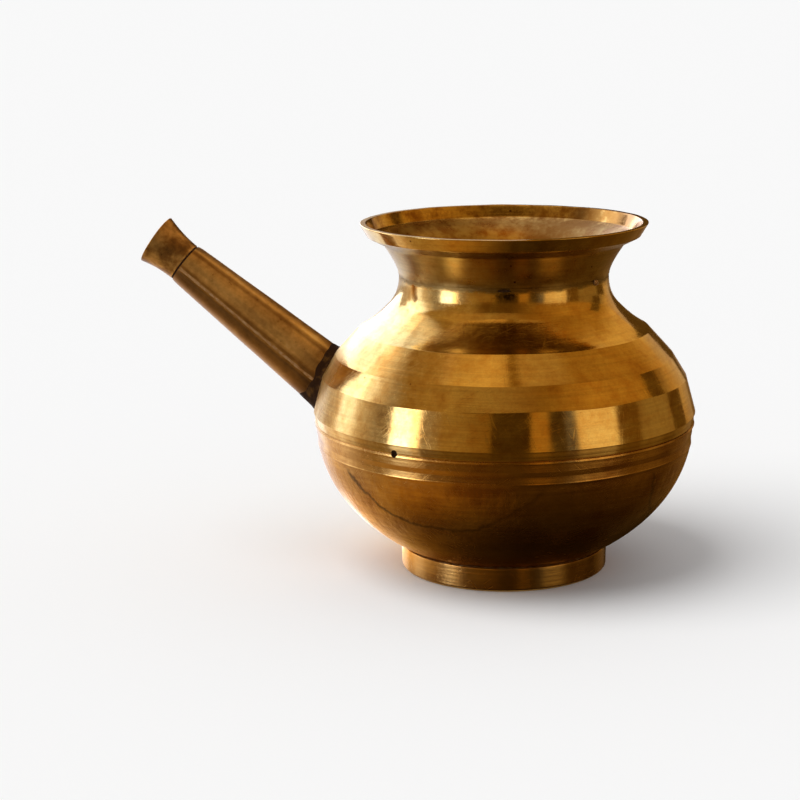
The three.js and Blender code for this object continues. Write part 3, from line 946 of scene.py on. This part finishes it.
class LOTA_OT_tube(bpy.types.Operator):
    """Make the rolled tube of the spout and the braze along its seam"""

    bl_idname = "lota.tube"
    bl_label = "Spout tube"

    def execute(self, context):
        size = context.scene.lota_pot
        spout = context.scene.lota_spout
        place = spout_place(spout)
        seam = radians(270) - spout.seam_turn
        outer = spout.root_diameter / 2
        start = meet_belly(size, spout, seam, outer) + 1.0 * MM
        sunk, bevel = 0.3 * MM, 0.15 * MM
        dent_depth, dent_width = 0.12 * MM, 0.07
        beaten_depth, beats_per_metre = 0.07 * MM, 90

        def loop(angle):
            root = meet_belly(size, spout, angle, outer) - sunk
            inner_root = meet_belly(size, spout, angle, outer - spout.wall) - sunk
            off = (angle - seam + pi) % (2 * pi) - pi
            dent = dent_depth * exp(-(off / dent_width) ** 2)
            points = []
            for i in range(TUBE_ROWS + 1):
                along = root + (spout.length - root) * i / TUBE_ROWS
                hand = beaten_depth * noise.noise(polar(1.6, angle, along * beats_per_metre))
                points.append((tube_radius(spout, along) - dent + hand, along))
            points[-1] = (points[-1][0] - bevel, points[-1][1])
            points.append((spout.end_diameter / 2 - spout.wall, spout.length))
            points.append((tube_radius(spout, inner_root) - spout.wall, inner_root))
            return points

        def strip(share):
            """The ridge across the seam at a share of its length, about 0.9 mm wide."""
            along = start + (spout.length - 0.3 * MM - start) * share
            half = (0.46 + 0.3 * noise.noise(Vector((share * 14, 3.1, 0.0)))) * MM
            radius = tube_radius(spout, along)
            ridge = []
            for k in range(-4, 5):
                across = k / 4
                sink = 0.1 * MM * across * across
                ridge.append(polar(radius - sink, seam + across * half / radius, along))
            ridge.append(polar(radius - 0.5 * MM, seam, along))
            return [place @ spot for spot in ridge]

        loft("spout_tube_rolled", loop, "spout_tube", "rolled_brass", place)
        rows = [strip(i / RIDGE_ROWS) for i in range(RIDGE_ROWS + 1)]
        points = [spot for row in rows for spot in row]
        across = len(rows[0])
        ends = [tuple(range(across)), tuple(range(len(points) - across, len(points)))]
        faces = ends + lattice(len(rows), across, ring=False, loop=True)
        new_piece("spout_seam_ridge", points, faces, "spout_seam_braze", "braze")
        return {"FINISHED"}


class LOTA_OT_solder(bpy.types.Operator):
    """Make the dark solder round the root of the spout"""

    bl_idname = "lota.solder"
    bl_label = "Root solder"

    def execute(self, context):
        size = context.scene.lota_pot
        spout = context.scene.lota_spout
        outer = spout.root_diameter / 2
        sunk = 0.3 * MM

        def loop(angle):
            # The solder reaches about 2 mm up the spout's top side and 7 mm up its underside.
            under = (1 - cos(angle)) / 2
            length = (2.3 + 0.9 * under + 3.9 * under ** 4) * MM + stray(angle, 21, 0.6 * MM, lumps=2.4)
            foot = (0.45 + 0.25 * under) * MM + stray(angle, 22, 0.2 * MM, lumps=4)
            points = []
            for i in range(SOLDER_ROWS + 1):
                share = i / SOLDER_ROWS
                hug = max(0.0, 1 - share / 0.4) ** 2
                rise = foot * hug + 0.22 * MM * (1 - share) ** 0.5 * (1 - hug) + 0.02 * MM
                along = meet_belly(size, spout, angle, outer + rise) - 0.06 * MM + length * share
                points.append((tube_radius(spout, along) + rise, along))
            low = meet_belly(size, spout, angle, outer)
            points.append((tube_radius(spout, along) - sunk, along))
            points.append((tube_radius(spout, low) - sunk, low - sunk))
            return points

        place = spout_place(spout)
        loft("spout_root_fillet", loop, "spout_root_solder", "solder", place, SOLDER_STEPS)
        return {"FINISHED"}


class LOTA_OT_mouthpiece(bpy.types.Operator):
    """Make the flared mouthpiece and the braze that holds it"""

    bl_idname = "lota.mouthpiece"
    bl_label = "Mouthpiece"

    def execute(self, context):
        spout = context.scene.lota_spout
        place = spout_place(spout)
        base = spout.end_diameter / 2 - 0.3 * MM
        mouth = base + spout.lip_flare
        low = spout.length + LIP_GAP
        tip = spout.length + spout.lip_length
        bore = spout.end_diameter / 2 - spout.wall - 1.1 * MM
        waist = low + 5.0 * MM
        lip_wall = 1.2 * MM

        def profile(angle):
            # The upper side is about 1 mm longer than the lower one, and a little wider.
            upper = 1 + cos(angle)
            end = tip + 0.52 * MM * upper
            rim = mouth + 0.07 * MM * upper
            flare = bend((base, low), (base, waist), (rim, end), 16)
            inside = bend((rim - lip_wall, end), (bore, waist), (bore, low), 12)
            wave = stray(angle, 31, 0.12 * MM, lumps=1.6) - 0.08 * MM
            outside = []
            for radius, along, _ in flare[2:-1]:
                outside.append((radius + wave * (along - low) / (end - low), along, 0.0))
            return [
                *corners(bore, spout.length, (0, -4.0, 0.2), (0.8, -4.0, 0.2)),
                (bore + 0.8 * MM, low, 0.0),
                (base, low, 0.25 * MM),
                *outside,
                (rim + wave, end, 0.25 * MM),
                (rim - lip_wall, end, 0.25 * MM),
                *inside[1:],
            ]

        def ring(angle):
            out = base - 0.15 * MM + stray(angle, 32, 0.1 * MM, lumps=3)
            inner = bore + 0.9 * MM
            start, end = spout.length - 0.1 * MM, low + 0.1 * MM
            return [(inner, start, 0.0), (out, start, 0.0), (out, end, 0.0), (inner, end, 0.0)]

        turn("spout_mouthpiece", profile, "spout_lip", "rolled_brass", place, SPOUT_STEPS, pitch=0.6 * MM)
        turn("spout_mouthpiece_braze", ring, "spout_lip_braze", "solder", place, SPOUT_STEPS, pitch=0.4 * MM)
        return {"FINISHED"}


# The stage: a pale floor, a soft lamp, and a glowing surround that only the brass sees, which paints its
# reflections

SURROUND_RADIUS = 0.9
SURROUND_HEIGHT = 0.05
WINDOW_DEPTH = 0.02
COLUMN_DEGREES = 3
ROW_DEGREES = 4

# Colours of the light, from daylight to what old wood sends back
DAY = "#F2F2FF"
PALE = "#FFE6CF"
STRAW = "#FFD796"
WARM = "#FFC66C"
DEEP = "#FFB548"

# Parts of the surround: degrees to the left and right of the camera, degrees up from and to,
# and the light at bearings between them
SURROUND = {
    "low_wall": (-180, 180, -6, 18.5, (
        (-180, PALE, 0.5), (-140, PALE, 0.5), (-120, PALE, 0.8), (-117, PALE, 1.0),
        (-113, DAY, 2.1), (-103, DAY, 2.1), (-95, PALE, 0.85), (-80, PALE, 0.38),
        (-70, PALE, 0.36), (-68.5, DAY, 4.2), (-57, DAY, 4.6),
        (-55, PALE, 3.4), (-51, PALE, 3.0), (-49, PALE, 0.42), (-36, WARM, 0.38),
        (-8.5, DEEP, 0.26), (-7, DEEP, 0.065), (15, DEEP, 0.065), (16.5, DEEP, 0.46),
        (26, DEEP, 0.46), (27.5, WARM, 0.085), (36.5, WARM, 0.085), (37.5, PALE, 0.17),
        (43, PALE, 0.17), (44.5, STRAW, 1.02), (69, STRAW, 1.02), (70.5, DEEP, 0.17), (86, DEEP, 0.17),
        (87.5, WARM, 0.3), (122, WARM, 0.3), (132, WARM, 0.62), (180, PALE, 0.5))),
    "picture_rail": (-180, 180, 18.5, 35, (
        (-180, PALE, 0.8), (-160, DAY, 2.0), (-140, DAY, 3.0), (-125, DAY, 2.2), (-112, PALE, 2.0),
        (-99, DAY, 1.9), (-90, PALE, 0.9), (-80, PALE, 0.38), (-60, WARM, 0.36), (-38, WARM, 0.34),
        (-22, DEEP, 0.15), (8, DEEP, 0.12), (20, DEEP, 0.2), (45, DEEP, 0.36), (90, DEEP, 0.46),
        (112, DEEP, 0.42), (125, DEEP, 0.42), (140, WARM, 0.7), (160, WARM, 0.75), (180, PALE, 0.8))),
    "middle_wall": (-180, 180, 35, 45, (
        (-180, PALE, 0.7), (-150, DAY, 1.6), (-135, DAY, 2.0), (-122, PALE, 1.9), (-114, PALE, 1.7),
        (-106, PALE, 1.0), (-97, WARM, 0.4), (-78, WARM, 0.34), (-60, WARM, 0.38), (-38, WARM, 0.38),
        (-22, DEEP, 0.15), (8, DEEP, 0.12), (20, DEEP, 0.2), (45, DEEP, 0.36), (70, DEEP, 0.5),
        (100, DEEP, 0.42), (125, DEEP, 0.42), (140, WARM, 0.7), (160, WARM, 0.75), (180, PALE, 0.7))),
    "high_wall": (-180, 180, 45, 62, (
        (-180, PALE, 0.8), (-135, DAY, 1.2), (-112, PALE, 1.1), (-104, PALE, 0.8), (-96, WARM, 0.32),
        (-82, WARM, 0.42), (-60, WARM, 0.5), (-36, WARM, 0.42), (0, WARM, 0.36), (30, DEEP, 0.28),
        (60, DEEP, 0.36), (90, DEEP, 0.36), (110, DEEP, 0.4), (140, WARM, 0.65), (180, PALE, 0.8))),
    "ceiling": (-180, 180, 62, 78, (
        (-180, PALE, 0.7), (-120, PALE, 0.7), (-60, WARM, 0.65), (-20, WARM, 0.76),
        (2, WARM, 0.65), (6, DEEP, 0.26), (16, DEEP, 0.26), (22, WARM, 0.5),
        (60, WARM, 0.46), (120, WARM, 0.42), (160, WARM, 0.6), (180, PALE, 0.7))),
    "roof": (-180, 180, 78, 90, (
        (-180, DEEP, 1.0), (-60, DEEP, 1.0), (0, DEEP, 0.85), (90, DEEP, 0.75), (180, DEEP, 1.0))),
    "side_window": (-123, -103, 14, 33, ((-123, DAY, 3.0), (-103, DAY, 3.0))),
    "back_window": (-170, -136, 2, 30, ((-170, DAY, 3.4), (-136, DAY, 3.4))),
    "dark_corner": (153, 179, -6, 60, ((153, DEEP, 0.1), (179, DEEP, 0.1))),
    "dark_post": (117, 134, -6, 6, ((117, DEEP, 0.12), (134, DEEP, 0.12))),
    "doorway": (108, 121, 8, 30, ((108, DEEP, 0.12), (121, DEEP, 0.12))),
}

# The table that the brass mirrors, painted into the glow of a disc: bright on the left, with the pot's
# shadow painted in close by on the right.
# It glows in three rings, and their light is given at bearings like the walls'.
TABLE_FAR = (
    (-180, PALE, 0.4), (-150, DAY, 0.5), (-134, DAY, 0.9), (-116, PALE, 1.0), (-100, PALE, 0.8),
    (-89, WARM, 0.34), (-77, WARM, 0.19), (-64, WARM, 0.2), (-46, DEEP, 0.11), (-28, DEEP, 0.062),
    (-11, DEEP, 0.056), (10, DEEP, 0.065), (40, DEEP, 0.085), (81, DEEP, 0.095), (106, DEEP, 0.085),
    (130, DEEP, 0.075), (150, DEEP, 0.13), (180, PALE, 0.4))
TABLE_MIDDLE = (
    (-180, PALE, 0.6), (-148, DAY, 0.85), (-132, PALE, 0.95), (-104, WARM, 0.68), (-89, WARM, 0.38),
    (-67, WARM, 0.42), (-47, DEEP, 0.4), (-29, DEEP, 0.33), (-12, DEEP, 0.18), (8, DEEP, 0.05),
    (29, DEEP, 0.026), (81, DEEP, 0.052), (106, DEEP, 0.065), (140, DEEP, 0.2), (160, DEEP, 0.16),
    (180, PALE, 0.5))
TABLE_NEAR = (
    (-180, PALE, 0.6), (-160, DAY, 0.9), (-146, DAY, 1.2), (-132, PALE, 2.3), (-116, DAY, 3.4),
    (-104, WARM, 1.7), (-92, WARM, 1.05), (-78, WARM, 0.65), (-62, WARM, 0.34), (-47, DEEP, 0.14),
    (-27, DEEP, 0.05), (-11, DEEP, 0.025), (10, DEEP, 0.01), (106, DEEP, 0.008), (150, DEEP, 0.014),
    (165, DEEP, 0.03), (180, PALE, 0.5))


def light_stops(stops):
    """Ramp stops round the whole circle from bearings, lights and levels."""
    ramp = []
    for degrees, light, level in stops:
        colour = [level * part for part in linear(light)[:3]]
        ramp.append(((degrees + 180) / 360, (*colour, 1.0)))
    return ramp


def lit_part(name, spots, columns, camera_turn):
    """A part of the surround, which the camera, the shadows and the floor don't see.

    Gives back its material's adder, the place on the part and the share of a turn round the pot.
    """
    part = new_object(name, spots, lattice(len(spots) // columns, columns, ring=False, loop=False))
    part.location = POT_AXIS
    part.rotation_euler = (0, 0, camera_turn - pi / 2)
    part.visible_camera = False
    part.visible_shadow = False
    part.visible_diffuse = False
    material, add = new_material(name)
    part.data.materials.append(material)
    place = add("TexCoord", out="Object")
    return add, place, add("TexGradient", (place,), "Fac", gradient_type="RADIAL")


class LOTA_OT_stage(bpy.types.Operator):
    """Set the floor, the light and the camera"""

    bl_idname = "lota.stage"
    bl_label = "Stage"

    def execute(self, context):
        scene = context.scene
        stage = scene.lota_stage
        scene.view_settings.view_transform = "Standard"
        self.floor(stage)
        self.surround(stage)
        self.table(stage)
        self.lights(scene)
        self.camera(scene, stage)
        return {"FINISHED"}

    def floor(self, stage):
        """A sheet of paper that reaches past the horizon."""
        reach = 40.0
        spots = [(-reach, -reach, 0), (reach, -reach, 0), (reach, reach, 0), (-reach, reach, 0)]
        floor = new_object("paper_floor", spots, [(0, 1, 2, 3)])
        material, add = new_material("White paper, matt")
        shade = add("BsdfDiffuse", {"Color": (*stage.floor_colour, 1.0)})
        add("OutputMaterial", (shade,))
        floor.data.materials.append(material)

    def surround(self, stage):
        """The walls, as parts of a dome that glow with painted light for the brass to mirror, with windows
        and dark corners a little nearer.
        """
        for name, (left, right, low, high, stops) in SURROUND.items():
            columns = round((right - left) / COLUMN_DEGREES) + 1
            rows = max(3, round((high - low) / ROW_DEGREES) + 1)
            radius = SURROUND_RADIUS if right - left == 360 else SURROUND_RADIUS - WINDOW_DEPTH
            spots = []
            for i in range(rows):
                rise = radians(low + (high - low) * i / (rows - 1))
                for j in range(columns):
                    bearing = radians(left + (right - left) * j / (columns - 1))
                    spots.append(polar(radius * cos(rise), bearing, SURROUND_HEIGHT + radius * sin(rise)))
            add, _, around = lit_part(name, spots, columns, stage.turn)
            light = add("ValToRGB", (around,), stops=light_stops(stops))
            glow = add("Emission", {"Color": light, "Strength": 1.0})
            add("OutputMaterial", (glow,))

    def table(self, stage):
        """The table, as a disc just above the paper that glows with painted light and a painted shadow of
        the pot.
        """
        columns = 360 // COLUMN_DEGREES + 1
        spots = []
        for reach in (20 * MM, 80 * MM, 300 * MM, SURROUND_RADIUS):
            for j in range(columns):
                spots.append(polar(reach, radians(COLUMN_DEGREES * j - 180), 0.5 * MM))
        add, place, around = lit_part("table", spots, columns, stage.turn)
        reach = add("VectorMath LENGTH", (place,), "Value")
        glow = add("ValToRGB", (around,), stops=light_stops(TABLE_NEAR))
        for stops, start, end in ((TABLE_MIDDLE, 52, 80), (TABLE_FAR, 95, 160)):
            ring = add("ValToRGB", (around,), stops=light_stops(stops))
            share = add("MapRange", (reach, start * MM, end * MM))
            glow = add("Mix", {SHARE: share, FIRST: glow, SECOND: ring}, **MIX_COLOURS)
        # Painted light: the disc's glow paints the table, and the pot's shadow on it, into the brass's
        # reflections
        glowing_varnish = add("BsdfPrincipled", {
            "Base Color": (0, 0, 0, 1), "Roughness": 0.12, "Emission Color": glow, "Emission Strength": 1.0})
        add("OutputMaterial", (glowing_varnish,))

    def lights(self, scene):
        """A broad soft lamp, and a white room that is darker for diffuse light than it looks."""
        lamp = bpy.data.lights.new("soft_lamp", "SUN")
        lamp.energy = 1.85
        lamp.angle = radians(50)
        holder = bpy.data.objects.new("soft_lamp", lamp)
        holder.rotation_euler = Vector((0.55, 0.35, -1.0)).to_track_quat("-Z", "Y").to_euler()
        holder.visible_glossy = False
        scene.collection.objects.link(holder)
        world = bpy.data.worlds.new("white_room")
        world.use_nodes = True
        world.node_tree.nodes.clear()
        add = partial(add_node, world.node_tree)
        seen = add("LightPath", out="Is Camera Ray")
        for ray in ("Is Glossy Ray", "Is Transmission Ray"):
            other = add("LightPath", out=ray)
            seen = add("Math ADD", (seen, other), use_clamp=True)
        level = add("MapRange", {"Value": seen, "To Min": 0.5, "To Max": 1.0})
        sky = add("Background", {"Color": (1, 1, 1, 1), "Strength": level})
        add("OutputWorld", (sky,))
        scene.world = world

    def camera(self, scene, stage):
        """The camera of the photo, which looks down and a little aside."""
        data = bpy.data.cameras.new("camera")
        data.sensor_width = 36.0
        data.lens = stage.lens
        data.clip_start = 0.01
        camera = bpy.data.objects.new("camera", data)
        scene.collection.objects.link(camera)
        away = Vector((sin(stage.turn), -cos(stage.turn), 0))
        right = Vector((-away.y, away.x, 0))
        ahead = -away * cos(stage.pitch) - Vector((0, 0, sin(stage.pitch)))
        up = right.cross(ahead)
        ahead = (ahead - right * tan(stage.aside)).normalized()
        right = ahead.cross(up)
        facing = Matrix((right, up, -ahead)).transposed().to_4x4()
        spot = POT_AXIS + away * stage.distance + Vector((0, 0, stage.height))
        camera.matrix_world = Matrix.Translation(spot) @ facing
        scene.camera = camera


class LOTA_PT_panel(bpy.types.Panel):
    """Lists the steps of the lota in the 3D view's sidebar"""

    bl_idname = "LOTA_PT_panel"
    bl_label = "Brass lota"
    bl_space_type = "VIEW_3D"
    bl_region_type = "UI"
    bl_category = "Lota"

    def draw(self, context):
        for step in STEPS:
            self.layout.operator(step.bl_idname)


STEPS = (
    LOTA_OT_foot,
    LOTA_OT_bowl,
    LOTA_OT_shoulder,
    LOTA_OT_collar,
    LOTA_OT_brazes,
    LOTA_OT_tube,
    LOTA_OT_solder,
    LOTA_OT_mouthpiece,
    LOTA_OT_stage,
)
GROUPS = {
    "lota_pot": LotaPotSizes,
    "lota_spout": LotaSpoutSizes,
    "lota_finishes": LotaFinishes,
    "lota_stage": LotaStageSizes,
}
CLASSES = (*GROUPS.values(), *STEPS, LOTA_PT_panel)


def register():
    for kind in CLASSES:
        bpy.utils.register_class(kind)
    for name, group in GROUPS.items():
        setattr(bpy.types.Scene, name, PointerProperty(type=group))


def unregister():
    for name in GROUPS:
        delattr(bpy.types.Scene, name)
    for kind in reversed(CLASSES):
        bpy.utils.unregister_class(kind)


def main():
    register()
    bpy.ops.lota.foot()
    bpy.ops.lota.bowl()
    bpy.ops.lota.shoulder()
    bpy.ops.lota.collar()
    bpy.ops.lota.brazes()
    bpy.ops.lota.tube()
    bpy.ops.lota.solder()
    bpy.ops.lota.mouthpiece()
    bpy.ops.lota.stage()


if __name__ == "__main__":
    main()
